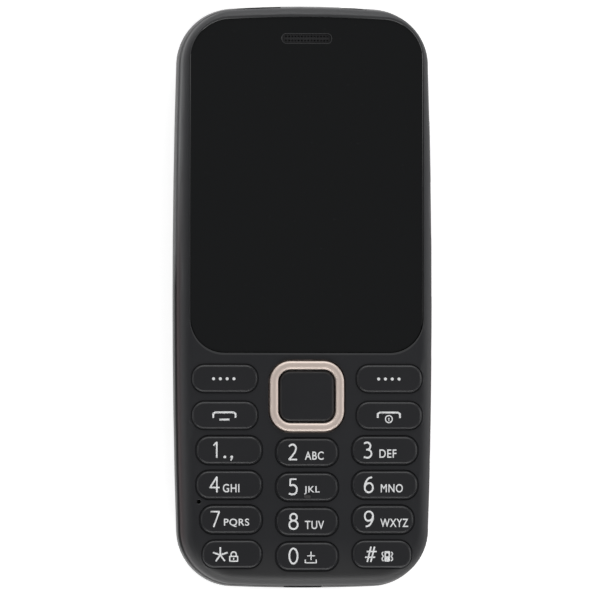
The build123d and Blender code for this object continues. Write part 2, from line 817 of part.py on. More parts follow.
with BuildPart() as torch_led:
    add(plain_block(torch_x, camera_y, torch_size, torch_size, block_low + touch_clearance, board_low))
    add(round_posts([(torch_x, camera_y)], torch_dome,
                    block_low - rear_wall / 2, block_low + touch_clearance))
torch_led.part.label = "torch_led"

with BuildPart() as loudspeaker:
    add(round_posts([(0, speaker_y)], speaker_radius, block_low + touch_clearance,
                    block_low + touch_clearance + speaker_thickness))
    add(round_posts([(0, speaker_y)], speaker_radius - speaker_rim, block_low,
                    block_low + touch_clearance + speaker_cone_depth), mode=Mode.SUBTRACT)
    with BuildSketch(Plane.XY.offset(block_low + touch_clearance + speaker_cone_depth)):
        with Locations((0, speaker_y)):
            Circle(speaker_radius / 2)
    extrude(amount=-speaker_cone_depth / 2)
loudspeaker.part.label = "loudspeaker"

# Vibration motor under the board, with its off-centre weight on the shaft
motor_end_y = motor_y - motor_length / 2
with BuildPart() as vibration_motor:
    with BuildSketch(Plane.XZ.offset(-motor_y - motor_length / 2)):
        with Locations((motor_x, motor_z)):
            Circle(motor_radius)
        with Locations((motor_x, (motor_z + board_low) / 2)):
            Rectangle(motor_foot, board_low - motor_z)
    extrude(amount=motor_length)
    with BuildSketch(Plane.XZ.offset(-motor_y - motor_length / 2)):
        with Locations((motor_x, motor_z)):
            Circle(shaft_radius + shaft_clearance)
    extrude(amount=motor_length, mode=Mode.SUBTRACT)
vibration_motor.part.label = "vibration_motor"

weight_y = motor_end_y - weight_gap
with BuildPart() as motor_weight:
    with BuildSketch(Plane.XZ.offset(-weight_y)):
        with Locations((motor_x, motor_z)):
            Circle(weight_radius)
            with Locations((0, weight_radius)):
                Rectangle(weight_radius * 2, weight_radius * 2, mode=Mode.SUBTRACT)
            Circle(weight_hub)
    extrude(amount=weight_length)
    with BuildSketch(Plane.XZ.offset(-motor_y)):
        with Locations((motor_x, motor_z)):
            Circle(shaft_radius)
    extrude(amount=motor_length / 2 + weight_gap)
motor_weight.part.label = "motor_weight"

# Headphone jack at the top end
with BuildPart() as headphone_jack:
    with BuildSketch(Plane.XZ.offset(-jack_block_y)):
        with Locations((jack_x, jack_z)):
            Rectangle(jack_width, jack_height)
    extrude(amount=jack_length)
    with BuildSketch(Plane.XZ.offset(-half_length)):
        with Locations((jack_x, jack_z)):
            Circle(jack_collar)
    extrude(amount=half_length - jack_block_y)
    add(back_body(jack_recess, board_high), mode=Mode.INTERSECT)
    with BuildSketch(Plane.XZ.offset(-jack_mouth_y)):
        with Locations((jack_x, jack_z)):
            Circle(jack_bore + jack_seat)
    extrude(amount=-overrun, mode=Mode.SUBTRACT)
    with BuildSketch(Plane.XZ.offset(-jack_mouth_y)):
        with Locations((jack_x, jack_z)):
            Circle(jack_bore)
    extrude(amount=jack_mouth_y - jack_block_y + jack_length - jack_bore / 2, mode=Mode.SUBTRACT)
headphone_jack.part.label = "headphone_jack"

# Charging socket at the bottom end: a steel shell with a tongue inside
with BuildPart() as charging_socket:
    with BuildSketch(Plane.XZ.offset(-usb_mouth_y)):
        with Locations((0, usb_z)):
            RectangleRounded(usb_width, usb_height, usb_corner)
    extrude(amount=-usb_length)
    with BuildSketch(Plane.XZ.offset(-usb_mouth_y)):
        with Locations((0, usb_z)):
            RectangleRounded(usb_width - usb_shell * 2, usb_height - usb_shell * 2, usb_corner - usb_shell)
    extrude(amount=-usb_length + usb_shell * 2, mode=Mode.SUBTRACT)
charging_socket.part.label = "charging_socket"

with BuildPart() as charging_tongue:
    with BuildSketch(Plane.XZ.offset(-usb_mouth_y - usb_shell * 2)):
        with Locations((0, usb_z)):
            Rectangle(usb_tongue_width, usb_tongue_height)
    extrude(amount=-usb_length + usb_shell * 4)
charging_tongue.part.label = "charging_tongue"

# Microphone, antenna, card sockets and shield
with BuildPart() as microphone:
    add(rounded_block(touch_clearance * 2 - mic_x, mic_y, mic_size, mic_size, mic_hole / 2,
                      board_low - mic_thickness, board_low))
microphone.part.label = "microphone"

antenna_width = (half_width - antenna_side_inset) * 2
with BuildPart() as antenna:
    with BuildSketch(Plane.XY.offset(block_low)):
        with Locations((0, antenna_from_end - half_length)):
            Rectangle(antenna_width, antenna_depth)
            with GridLocations(antenna_width / antenna_slits, 0, antenna_slits, 1):
                Rectangle(antenna_slit, antenna_depth - antenna_slit * 2, mode=Mode.SUBTRACT)
    extrude(amount=antenna_thickness)
antenna.part.label = "antenna"


# A card socket: a pressed steel tray open towards the battery bay and at one end
def card_socket(x, y, width, height):
    low = board_low - sim_height
    with BuildPart() as socket:
        add(plain_block(x, y, width, height, low, board_low))
        add(plain_block(x, y - sim_wall, width - sim_wall * 2, height,
                        low - overrun, board_low - sim_wall), mode=Mode.SUBTRACT)
        with BuildSketch(Plane.XY.offset(low)):
            with Locations((x, y)):
                with GridLocations(width - floor_window_margin, 0, 2, 1):
                    Rectangle(floor_window_margin, height)
        extrude(amount=sim_wall)
    return socket.part


sockets = {}
for name, place in zip(("sim_socket_1", "sim_socket_2", "memory_card_socket"), floor_windows):
    sockets[name] = card_socket(*place)
    sockets[name].label = name

with BuildPart() as shield_can:
    add(rounded_block(0, shield_y, shield_width, shield_depth, shield_corner,
                      board_low - sim_height, board_low))
    add(rounded_block(0, shield_y, shield_width - sim_wall * 2,
                      shield_depth - sim_wall * 2, shield_corner - sim_wall,
                      board_low - sim_height + sim_wall, board_low), mode=Mode.SUBTRACT)
shield_can.part.label = "shield_can"

with BuildPart() as processor:
    add(plain_block(0, shield_y, shield_depth / 2, shield_depth / 2,
                    board_low - sim_height + sim_wall * 2, board_low))
processor.part.label = "processor"

# Battery and the contacts that reach it through the bay's wall
with BuildPart() as battery:
    add(plain_block(0, battery_y, battery_half * 2, battery_length, battery_low, battery_high))
    fillet(battery.edges().filter_by(Axis.Z), battery_edge)
    fillet(battery.edges().group_by(Axis.Z)[0] + battery.edges().group_by(Axis.Z)[-1], battery_edge / 2)
battery.part.label = "battery"

contact_block_y = battery_top_y + battery_side_clearance + bay_wall + touch_clearance
contact_z = board_low - contact_block_height
with BuildPart() as contact_block:
    add(plain_block(0, contact_block_y + contact_block_depth / 2, contact_block_width, contact_block_depth,
                    contact_z, board_low))
contact_block.part.label = "contact_block"

with BuildPart() as battery_contacts:
    for place in (-1, 0, 1):
        add(plain_block(place * contact_spread, (battery_top_y + touch_clearance + contact_block_y) / 2,
                        contact_width, contact_block_y - battery_top_y - touch_clearance,
                        contact_z + contact_rise / 2, contact_z + contact_rise / 2 + contact_thickness))
battery_contacts.part.label = "battery_contacts"

# Four cross-head screws, one group
with BuildPart() as housing_screws:
    add(round_posts(screw_places, screw_head_radius, screw_seat - screw_head_height, screw_seat))
    add(round_posts(screw_places, screw_radius, screw_seat, screw_seat + screw_length))
    with BuildSketch(Plane.XY.offset(screw_seat - screw_head_height)):
        with Locations(*screw_places):
            Rectangle(screw_head_radius, screw_cross_width)
            Rectangle(screw_cross_width, screw_head_radius)
    extrude(amount=screw_cross_depth, mode=Mode.SUBTRACT)
housing_screws.part.label = "housing_screws"

# One file for each piece
pieces = [
    front_housing, display_window, window_tape, earpiece_mesh, earpiece_receiver, display_module,
    display_gasket, display_flex, nav_ring, nav_rocker_plate, nav_key, keypad_mat, dome_sheet, key_lights,
    main_board, rear_housing, battery_cover, camera_window, camera_module, torch_led, loudspeaker,
    vibration_motor, motor_weight, headphone_jack, charging_socket, charging_tongue, microphone, antenna,
    shield_can, processor, battery, contact_block, battery_contacts, housing_screws,
]
for piece in pieces:
    export_step(piece.part, f"parts/{piece.part.label}.step")
for solid in list(key_parts.values()) + list(sockets.values()):
    export_step(solid, f"parts/{solid.label}.step")
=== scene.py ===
import bpy
import bmesh
import math
from mathutils import Matrix, Vector
from mathutils.geometry import convex_hull_2d


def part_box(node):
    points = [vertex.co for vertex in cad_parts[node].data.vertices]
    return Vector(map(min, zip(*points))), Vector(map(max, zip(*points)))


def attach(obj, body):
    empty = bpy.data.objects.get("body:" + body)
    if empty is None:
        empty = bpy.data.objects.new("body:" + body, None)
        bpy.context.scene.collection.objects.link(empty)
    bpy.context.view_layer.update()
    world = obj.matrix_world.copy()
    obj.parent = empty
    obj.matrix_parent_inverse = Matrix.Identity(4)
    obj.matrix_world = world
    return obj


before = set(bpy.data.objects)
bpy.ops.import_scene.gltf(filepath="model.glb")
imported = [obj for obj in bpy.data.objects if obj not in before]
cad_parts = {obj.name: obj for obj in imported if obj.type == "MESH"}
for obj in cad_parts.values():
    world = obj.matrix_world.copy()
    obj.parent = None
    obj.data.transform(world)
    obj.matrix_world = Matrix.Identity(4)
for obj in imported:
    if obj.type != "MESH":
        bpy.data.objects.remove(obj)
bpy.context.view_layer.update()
mm = 0.001
print("frame loaded:", len(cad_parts), "nodes")


# Shader maths written as Python: a Wire is one output socket
class Wire:
    def __init__(self, recipe, socket):
        self.recipe = recipe
        self.socket = socket

    def sum(self, operation, first, second):
        return self.recipe.node("ShaderNodeMath", {"operation": operation}, {0: first, 1: second})

    def __add__(self, other):
        return self.sum("ADD", self, other)

    def __radd__(self, other):
        return self.sum("ADD", other, self)

    def __sub__(self, other):
        return self.sum("SUBTRACT", self, other)

    def __rsub__(self, other):
        return self.sum("SUBTRACT", other, self)

    def __mul__(self, other):
        return self.sum("MULTIPLY", self, other)

    def __rmul__(self, other):
        return self.sum("MULTIPLY", other, self)

    def __lt__(self, other):
        return self.sum("LESS_THAN", self, other)

    def __gt__(self, other):
        return self.sum("GREATER_THAN", self, other)

    def __abs__(self):
        return self.recipe.node("ShaderNodeMath", {"operation": "ABSOLUTE"}, {0: self})


# A node tree being built, for a material or for Geometry Nodes
class Recipe:
    def __init__(self, tree):
        self.tree = tree

    def node(self, kind, settings, sockets, out=0):
        made = self.tree.nodes.new(kind)
        for key, value in settings.items():
            if key == "stops":
                ramp = made.color_ramp
                while len(ramp.elements) < len(value):
                    ramp.elements.new(1.0)
                for stop, (place, colour) in zip(ramp.elements, value):
                    stop.position = place
                    stop.color = colour
            else:
                setattr(made, key, value)
        for key, value in sockets.items():
            if isinstance(value, Wire):
                self.tree.links.new(value.socket, made.inputs[key])
            else:
                made.inputs[key].default_value = value
        return Wire(self, made.outputs[out]) if len(made.outputs) else made

    # The three parts of a place
    def parts(self, place):
        split = self.node("ShaderNodeSeparateXYZ", {}, {0: place}).socket.node
        return [Wire(self, output) for output in split.outputs]

    # Nought at the start and one at the end, held at both
    def fade(self, value, start, end):
        return self.node("ShaderNodeMapRange", {}, {"Value": value, "From Min": start, "From Max": end})

    def vector(self, operation, first, second=(0.0, 0.0, 0.0), out=0):
        return self.node("ShaderNodeVectorMath", {"operation": operation}, {0: first, 1: second}, out)


def newMaterial(name):
    material = bpy.data.materials.new(name)
    material.use_nodes = True
    material.node_tree.nodes.clear()
    return material, Recipe(material.node_tree)


# Closes a material: the varying sockets are links, the rest plain values
def closeMaterial(recipe, sockets):
    surface = recipe.node("ShaderNodeBsdfPrincipled", {}, sockets)
    recipe.node("ShaderNodeOutputMaterial", {}, {"Surface": surface})


def objectPlace(recipe):
    return recipe.node("ShaderNodeTexCoord", {}, {}, out="Object")


# A noise is given as its scale, detail and roughness
def noise(recipe, place, kind):
    scale, detail, rough = kind
    return recipe.node("ShaderNodeTexNoise", {}, {"Vector": place, "Scale": scale, "Detail": detail,
                                                  "Roughness": rough}, out="Fac")


def blend(recipe, share, first, second):
    return recipe.node("ShaderNodeMix", {"data_type": "RGBA"}, {0: share, 6: first, 7: second}, out=2)


def bump(recipe, height, strength, distance):
    return recipe.node("ShaderNodeBump", {}, {"Height": height, "Strength": strength, "Distance": distance},
                       out="Normal")


def stretch(recipe, place, scale):
    return recipe.node("ShaderNodeMapping", {}, {"Vector": place, "Scale": scale})


def tint(red, green, blue):
    return (red, green, blue, 1.0)


def middleOf(node):
    low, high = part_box(node)
    return (low[0] + high[0]) / 2, (low[1] + high[1]) / 2


# Share of a painted light or shade band: one on one side of a level and of a line across, fading out over a
# short way; a minus turns a fade round
def paintedBandShare(recipe, place, look):
    x, y, z = recipe.parts(place)
    across = recipe.fade(y, look["bandEnd"], look["bandEnd"] - look["bandFade"])
    under = recipe.fade(z, look["bandTop"], look["bandTop"] - look["bandBlur"])
    foot = recipe.fade(y, look["bandFoot"], look["bandFoot"] + look["bandFootFade"])
    return under * across * foot


# Share of the painted light at the foot: one towards the foot and above a level
def footLightShare(recipe, place, look):
    x, y, z = recipe.parts(place)
    return recipe.fade(y, look["footFrom"], look["footTo"]) * (z > look["footAbove"])


# Moulded plastic: fine spark grain, faint mottling, and a sheen that varies where hands polish it; some looks
# also paint light or shade into a band and paint light towards the foot
def mouldedPlastic(name, look):
    material, recipe = newMaterial(name)
    place = objectPlace(recipe)
    grain = noise(recipe, place, look["grainNoise"])
    handled = noise(recipe, place, look["handledNoise"])
    colour = blend(recipe, handled, look["dark"], look["light"])
    rough = look["rough"] + (handled - 0.5) * look["roughSpread"] + (grain - 0.5) * look["grainRough"]
    # Band colour: painted shade on the front housing's side walls, painted light on the battery cover's lip
    if "band" in look:
        share = paintedBandShare(recipe, place, look)
        colour = blend(recipe, share, colour, look["band"])
        rough = rough + share * look["bandRough"]
    # Foot colour: painted light towards the lower end
    if "foot" in look:
        colour = blend(recipe, footLightShare(recipe, place, look), colour, look["foot"])
    closeMaterial(recipe, {
        "Base Color": colour,
        "Roughness": rough,
        "Normal": bump(recipe, grain, look["grainStrength"], look["grainDepth"]),
        "IOR": look["ior"],
    })
    return material


frontLook = {
    "dark": tint(0.0134, 0.0140, 0.0164),
    "light": tint(0.0172, 0.0178, 0.0206),
    "rough": 0.52,
    "roughSpread": 0.10,
    "grainRough": 0.12,
    "grainNoise": (5200.0, 3.0, 0.65),
    "grainStrength": 0.35,
    "grainDepth": 0.02 * mm,
    "handledNoise": (45.0, 4.0, 0.6),
    "ior": 1.46,
}
# Front housing: the dark red band on the side walls below the top face is partly the red of the seam and
# partly painted shade, full on the lower half and fading out towards the top end; the paler foot colour is
# painted light on the lower end
shellLook = dict(frontLook, band=tint(0.0190, 0.0075, 0.0095), bandTop=12.5 * mm, bandBlur=1.6 * mm,
                 bandEnd=30.0 * mm, bandFade=30.0 * mm, bandFoot=-57.0 * mm, bandFootFade=9.0 * mm,
                 bandRough=0.42, foot=tint(0.034, 0.034, 0.035), footFrom=-49.0 * mm, footTo=-57.5 * mm,
                 footAbove=6.0 * mm)
# Battery cover: the pale grey band is painted light on the top of the lip in the upper part, filling the
# shade beside the front housing's wall; the pale foot colour is painted light on the lip at the lower end
coverLook = dict(frontLook, dark=tint(0.0320, 0.0320, 0.0330), light=tint(0.0400, 0.0400, 0.0412), rough=0.46,
                 band=tint(0.20, 0.20, 0.205), bandTop=6.74 * mm, bandBlur=-0.10 * mm, bandEnd=2.0 * mm,
                 bandFade=-8.0 * mm, bandFoot=-57.0 * mm, bandFootFade=9.0 * mm, bandRough=0.0,
                 foot=tint(0.16, 0.16, 0.16), footFrom=-50.0 * mm, footTo=-56.0 * mm, footAbove=6.70 * mm)
keyLook = dict(frontLook, dark=tint(0.0140, 0.0143, 0.0162), light=tint(0.0182, 0.0186, 0.0212),
               rough=0.44, grainStrength=0.22)
rearLook = dict(frontLook, dark=tint(0.0300, 0.0100, 0.0130), light=tint(0.0420, 0.0130, 0.0170))
moduleLook = dict(frontLook, dark=tint(0.012, 0.012, 0.013), light=tint(0.020, 0.020, 0.022), rough=0.6)
whiteLook = dict(frontLook, dark=tint(0.62, 0.61, 0.58), light=tint(0.72, 0.71, 0.69), rough=0.5)
# Lighter plastic for the strip round the window: a painted highlight on the housing's edge
edgeHighlightLook = dict(frontLook, dark=tint(0.044, 0.045, 0.047), light=tint(0.054, 0.055, 0.057), rough=0.40)
# Lighter grey for the top of the nib on the middle key: a painted highlight where its edges catch light
nibHighlightLook = dict(frontLook, dark=tint(0.045, 0.043, 0.043), light=tint(0.060, 0.057, 0.057))
siliconeLook = dict(frontLook, dark=tint(0.30, 0.30, 0.31), light=tint(0.38, 0.38, 0.39), rough=0.6,
                    grainStrength=0.15)
foamLook = dict(frontLook, dark=tint(0.010, 0.010, 0.010), light=tint(0.022, 0.022, 0.022), rough=0.9,
                grainNoise=(2600.0, 3.0, 0.65), grainStrength=0.9, grainDepth=0.08 * mm)
filmLook = dict(frontLook, dark=tint(0.36, 0.14, 0.02), light=tint(0.46, 0.20, 0.04), rough=0.3)


# Window: deep gloss black with a trace of wiping marks in its polish
def glossGlass(name, look):
    material, recipe = newMaterial(name)
    place = objectPlace(recipe)
    wiped = noise(recipe, stretch(recipe, place, look["wipeStretch"]), look["wipeNoise"])
    specks = noise(recipe, place, look["dustNoise"]) > look["dustLevel"]
    colour = blend(recipe, specks * look["dustShare"], look["colour"], look["dustColour"])
    closeMaterial(recipe, {
        "Base Color": colour,
        "Roughness": look["rough"] + wiped * look["wipeRough"] + specks * look["dustRough"],
        "IOR": look["ior"],
    })
    return material


windowLook = {
    "colour": tint(0.0060, 0.0066, 0.0072),
    "rough": 0.035,
    "wipeRough": 0.05,
    "wipeNoise": (22.0, 5.0, 0.6),
    "wipeStretch": (1.0, 0.35, 1.0),
    "dustNoise": (1500.0, 2.0, 0.5),
    "dustLevel": 0.735,
    "dustShare": 0.10,
    "dustRough": 0.10,
    "dustColour": tint(0.05, 0.05, 0.052),
    "ior": 1.5,
}
lensLook = dict(windowLook, colour=tint(0.004, 0.004, 0.006), rough=0.02, wipeRough=0.03)


# Share of the painted shade on the ring: one along a line at an even depth inside a round-cornered outline,
# fading out to both sides
def midShadeShare(recipe, place, look):
    corner = look["grooveCorner"]
    heart = tuple(half - corner for half in look["grooveHalf"])
    flat = recipe.vector("MULTIPLY", place, (1.0, 1.0, 0.0))
    folded = recipe.vector("ABSOLUTE", recipe.vector("SUBTRACT", flat, look["grooveMiddle"]))
    outside = recipe.vector("MAXIMUM", recipe.vector("SUBTRACT", folded, (*heart, 0.0)))
    span = recipe.vector("LENGTH", outside, out="Value")
    miss = abs(corner - look["grooveDepth"] - span)
    return 1.0 - recipe.fade(miss, 0.0, look["grooveWidth"])


# Plated plastic: satin metal with a fine orange-peel and soft rub marks
def plating(name, look):
    material, recipe = newMaterial(name)
    place = objectPlace(recipe)
    peel = noise(recipe, place, look["peelNoise"])
    rubbed = noise(recipe, place, look["rubNoise"])
    colour = blend(recipe, rubbed, look["dark"], look["light"])
    # Painted shade: a darker line along the middle of the ring's band, between the highlights on its rounded
    # edges
    if "groove" in look:
        colour = blend(recipe, midShadeShare(recipe, place, look), colour, look["groove"])
    closeMaterial(recipe, {
        "Base Color": colour,
        "Roughness": look["rough"] + (rubbed - 0.5) * look["rubRough"],
        "Metallic": look["metal"],
        "Normal": bump(recipe, peel, look["peelStrength"], look["peelDepth"]),
    })
    return material


ringLook = {
    "dark": tint(0.88, 0.735, 0.65),
    "light": tint(0.94, 0.805, 0.73),
    "rough": 0.44,
    "rubRough": 0.08,
    "rubNoise": (260.0, 4.0, 0.6),
    "metal": 0.20,
    "peelNoise": (1800.0, 2.0, 0.5),
    "peelStrength": 0.10,
    "peelDepth": 0.01 * mm,
}
# The ring's darker middle colour is painted shade along the middle of its band
ringBandLook = dict(ringLook, groove=tint(0.68, 0.57, 0.51), grooveCorner=4.2 * mm, grooveDepth=0.78 * mm,
                    grooveWidth=0.62 * mm, grooveHalf=(7.55 * mm, 7.1 * mm),
                    grooveMiddle=(*middleOf("nav_key"), 0.0))
steelLook = dict(ringLook, dark=tint(0.50, 0.50, 0.50), light=tint(0.64, 0.64, 0.63), rough=0.34, metal=1.0)
canLook = dict(ringLook, dark=tint(0.58, 0.58, 0.56), light=tint(0.70, 0.70, 0.67), rough=0.4, metal=1.0)
goldLook = dict(ringLook, dark=tint(0.72, 0.50, 0.18), light=tint(0.83, 0.62, 0.26), rough=0.28, metal=1.0)
heavyLook = dict(ringLook, dark=tint(0.22, 0.22, 0.24), light=tint(0.30, 0.30, 0.32), rough=0.45, metal=1.0)
screwLook = dict(ringLook, dark=tint(0.10, 0.10, 0.11), light=tint(0.17, 0.17, 0.18), rough=0.36, metal=1.0)
blackSteelLook = dict(ringLook, dark=tint(0.028, 0.028, 0.030), light=tint(0.045, 0.045, 0.048), rough=0.42,
                      metal=0.4)
rimLook = dict(ringLook, dark=tint(0.050, 0.050, 0.053), light=tint(0.065, 0.065, 0.068), rough=0.40,
               metal=0.2)


# Board: green mask over copper tracks laid out in a square weave
def boardMask(name, look):
    material, recipe = newMaterial(name)
    place = objectPlace(recipe)
    across, along = (recipe.node("ShaderNodeTexWave", {"wave_type": "BANDS", "bands_direction": direction},
                                 {"Vector": place, "Scale": look["trackScale"],
                                  "Distortion": look["trackBend"], "Detail": 0.0}, out="Fac")
                     for direction in "XY")
    area = noise(recipe, place, look["areaNoise"]) > look["areaLevel"]
    tracks = (across * area + along * (1.0 - area)) > look["trackShare"]
    closeMaterial(recipe, {
        "Base Color": blend(recipe, tracks, look["mask"], look["track"]),
        "Roughness": look["rough"] + noise(recipe, place, look["sheenNoise"]) * look["sheenRough"],
        "Normal": bump(recipe, tracks, look["trackStrength"], look["trackDepth"]),
    })
    return material


boardLook = {
    "mask": tint(0.008, 0.060, 0.026),
    "track": tint(0.020, 0.120, 0.050),
    "trackScale": 420.0,
    "trackBend": 1.5,
    "trackShare": 0.72,
    "trackStrength": 0.4,
    "trackDepth": 0.03 * mm,
    "areaNoise": (110.0, 0.0, 0.5),
    "areaLevel": 0.5,
    "rough": 0.28,
    "sheenNoise": (90.0, 2.0, 0.5),
    "sheenRough": 0.15,
}


# Battery film: dark wrap with a silver band, left without words
def batteryFilm(name, look):
    material, recipe = newMaterial(name)
    place = objectPlace(recipe)
    x, y, z = recipe.parts(place)
    band = (y > look["bandFrom"]) * (y < look["bandTo"])
    creases = noise(recipe, stretch(recipe, place, look["creaseStretch"]), look["creaseNoise"])
    closeMaterial(recipe, {
        "Base Color": blend(recipe, band, look["wrap"], look["band"]),
        "Roughness": look["rough"] + creases * look["creaseRough"] - band * look["bandPolish"],
        "Metallic": band * look["bandMetal"],
        "Normal": bump(recipe, creases, look["creaseStrength"], look["creaseDepth"]),
    })
    return material


batteryLook = {
    "wrap": tint(0.045, 0.047, 0.052),
    "band": tint(0.46, 0.47, 0.48),
    "bandFrom": -4.0 * mm,
    "bandTo": 2.0 * mm,
    "bandPolish": 0.08,
    "bandMetal": 0.7,
    "creaseNoise": (130.0, 4.0, 0.6),
    "creaseStretch": (1.0, 0.2, 1.0),
    "creaseRough": 0.12,
    "creaseStrength": 0.15,
    "creaseDepth": 0.05 * mm,
    "rough": 0.34,
}


# Printed ink and the yellow of unlit lamps: clouded between two colours, with a coat or none
def cloudedPaint(name, look):
    material, recipe = newMaterial(name)
    clouded = noise(recipe, objectPlace(recipe), look["noise"])
    closeMaterial(recipe, {
        "Base Color": blend(recipe, clouded, look["dark"], look["light"]),
        "Roughness": look["rough"] + clouded * look["cloudRough"],
        "Coat Weight": look["coat"],
    })
    return material


inkLook = {
    "dark": tint(0.94 * 0.92, 0.95 * 0.92, 0.96 * 0.92),
    "light": tint(0.94, 0.95, 0.96),
    "noise": (900.0, 4.0, 0.7),
    "rough": 0.45,
    "cloudRough": 0.2,
    "coat": 0.0,
}
phosphorLook = {
    "dark": tint(0.78, 0.70, 0.24),
    "light": tint(0.86, 0.82, 0.50),
    "noise": (1200.0, 3.0, 0.6),
    "rough": 0.18,
    "cloudRough": 0.15,
    "coat": 0.6,
}
looks = {
    "frontPlastic": (mouldedPlastic, shellLook),
    "coverPlastic": (mouldedPlastic, coverLook),
    "keyPlastic": (mouldedPlastic, keyLook),
    "rearPlastic": (mouldedPlastic, rearLook),
    "modulePlastic": (mouldedPlastic, moduleLook),
    "whitePlastic": (mouldedPlastic, whiteLook),
    "silicone": (mouldedPlastic, siliconeLook),
    "greyPlastic": (mouldedPlastic, nibHighlightLook),
    "edgePlastic": (mouldedPlastic, edgeHighlightLook),
    "blackFoam": (mouldedPlastic, foamLook),
    "amberFilm": (mouldedPlastic, filmLook),
    "windowGlass": (glossGlass, windowLook),
    "lensGlass": (glossGlass, lensLook),
    "ringPlating": (plating, ringBandLook),
    "bareSteel": (plating, steelLook),
    "canSteel": (plating, canLook),
    "goldPlating": (plating, goldLook),
    "heavyMetal": (plating, heavyLook),
    "screwSteel": (plating, screwLook),
    "blackSteel": (plating, blackSteelLook),
    "rimPlating": (plating, rimLook),
    "greenBoard": (boardMask, boardLook),
    "batteryWrap": (batteryFilm, batteryLook),
    "whiteInk": (cloudedPaint, inkLook),
    "yellowPhosphor": (cloudedPaint, phosphorLook),
}
materials = {name: make(name, look) for name, (make, look) in looks.items()}

keyNames = [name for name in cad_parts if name.startswith(("key_", "soft_key")) and name not in
            ("key_lights", "keypad_mat")] + ["call_key", "end_key", "nav_key"]
finishes = {
    "frontPlastic": ["front_housing"],
    "coverPlastic": ["battery_cover"],
    "rearPlastic": ["rear_housing"],
    "windowGlass": ["display_window", "display_module"],
    "lensGlass": ["camera_window"],
    "ringPlating": ["nav_ring"],
    "whitePlastic": ["nav_rocker_plate"],
    "silicone": ["keypad_mat"],
    "blackFoam": ["window_tape", "display_gasket"],
    "amberFilm": ["display_flex"],
    "blackSteel": ["earpiece_mesh"],
    "greenBoard": ["main_board"],
    "yellowPhosphor": ["key_lights", "torch_led"],
    "modulePlastic": ["camera_module", "loudspeaker", "headphone_jack", "charging_tongue", "processor",
                      "contact_block"],
    "bareSteel": ["dome_sheet", "earpiece_receiver", "vibration_motor", "charging_socket", "microphone"],
    "heavyMetal": ["motor_weight"],
    "goldPlating": ["antenna", "battery_contacts"],
    "canSteel": ["shield_can", "sim_socket_1", "sim_socket_2", "memory_card_socket"],
    "screwSteel": ["housing_screws"],
    "batteryWrap": ["battery"],
    "keyPlastic": keyNames,
}
for finish, nodes in finishes.items():
    for node in nodes:
        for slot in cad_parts[node].material_slots:
            slot.link = "OBJECT"
            slot.material = materials[finish]
print("finishes set:", sum(len(nodes) for nodes in finishes.values()))


def addItem(name, data):
    item = bpy.data.objects.new(name, data)
    bpy.context.collection.objects.link(item)
    return item


# Turns a curve or text object into a plain mesh, and clears the curve away
def asMesh(item):
    bpy.context.view_layer.update()
    evaluated = item.evaluated_get(bpy.context.evaluated_depsgraph_get())
    mesh = bpy.data.meshes.new_from_object(evaluated)
    bpy.data.objects.remove(item)
    return mesh


# A printed line: a thin tube along the points, pressed nearly flat
def inkLine(points, width, closed=False, smooth=False):
    curve = bpy.data.curves.new("inkLine", "CURVE")
    curve.dimensions = "3D"
    curve.bevel_depth = width / 2
    curve.bevel_resolution = inkStyle["roundSteps"]
    curve.use_fill_caps = True
    curve.resolution_u = inkStyle["bendSteps"]
    if smooth:
        spline = curve.splines.new("BEZIER")
        spline.bezier_points.add(len(points) - 1)
        for knot, (x, y) in zip(spline.bezier_points, points):
            knot.co = (x, y, 0)
            knot.handle_left_type = knot.handle_right_type = "AUTO"
        spline.use_cyclic_u = closed
    else:
        corners = [Vector((x, y, 0)) for x, y in points + points[:1] * closed]
        for start, end in zip(corners, corners[1:]):
            lap = (end - start).normalized() * width * inkStyle["cornerLap"]
            spline = curve.splines.new("POLY")
            spline.points.add(1)
            spline.points[0].co = (*(start - lap), 1)
            spline.points[1].co = (*(end + lap), 1)
    mesh = asMesh(addItem("inkLine", curve))
    flatten = inkStyle["thickness"] / width
    mesh.transform(Matrix.Diagonal((1, 1, flatten, 1)))
    return mesh


# A round printed dot
def inkDot(x, y, radius):
    return inkLine(ellipsePoints(x, y, radius / 2, radius / 2), radius, closed=True, smooth=True)


# Letters from the built-in font, made a mesh and fitted between two corners
def inkLetters(words, left, foot, width, height):
    curve = bpy.data.curves.new("inkLetters", "FONT")
    curve.body = words
    curve.extrude = inkStyle["letterDepth"]
    curve.offset = inkStyle["letterWeight"]
    curve.space_character = inkStyle["letterSpace"]
    mesh = asMesh(addItem("inkLetters", curve))
    low = [min(vertex.co[axis] for vertex in mesh.vertices) for axis in range(3)]
    high = [max(vertex.co[axis] for vertex in mesh.vertices) for axis in range(3)]
    wide = (width / (high[0] - low[0]), height / (high[1] - low[1]),
            inkStyle["thickness"] / (high[2] - low[2]))
    middle = (low[2] + high[2]) / 2
    mesh.transform(Matrix.Translation((left, foot, 0)) @ Matrix.Diagonal((*wide, 1))
                   @ Matrix.Translation((-low[0], -low[1], -middle)))
    return mesh


inkStyle = {
    "thickness": 0.03 * mm,
    "raisedShare": 0.2,
    "roundSteps": 2,
    "bendSteps": 6,
    "mergeReach": 1e-8,
    "digitStroke": 0.37 * mm,
    "digitHeight": 3.42 * mm,
    "letterHeight": 1.70 * mm,
    "letterRise": 0.13 * mm,
    "straightShare": 0.88,
    "letterWeight": 0.012,
    "letterSpace": 1.10,
    "letterDepth": 0.5,
    "cornerLap": 0.22,
    "footDrop": 1.65 * mm,
    "iconStroke": 0.36 * mm,
    "iconFine": 0.24 * mm,
}


def ellipsePoints(x, y, across, up, count=12):
    turns = [math.tau * step / count for step in range(count)]
    return [(x + across * math.cos(turn), y + up * math.sin(turn)) for turn in turns]


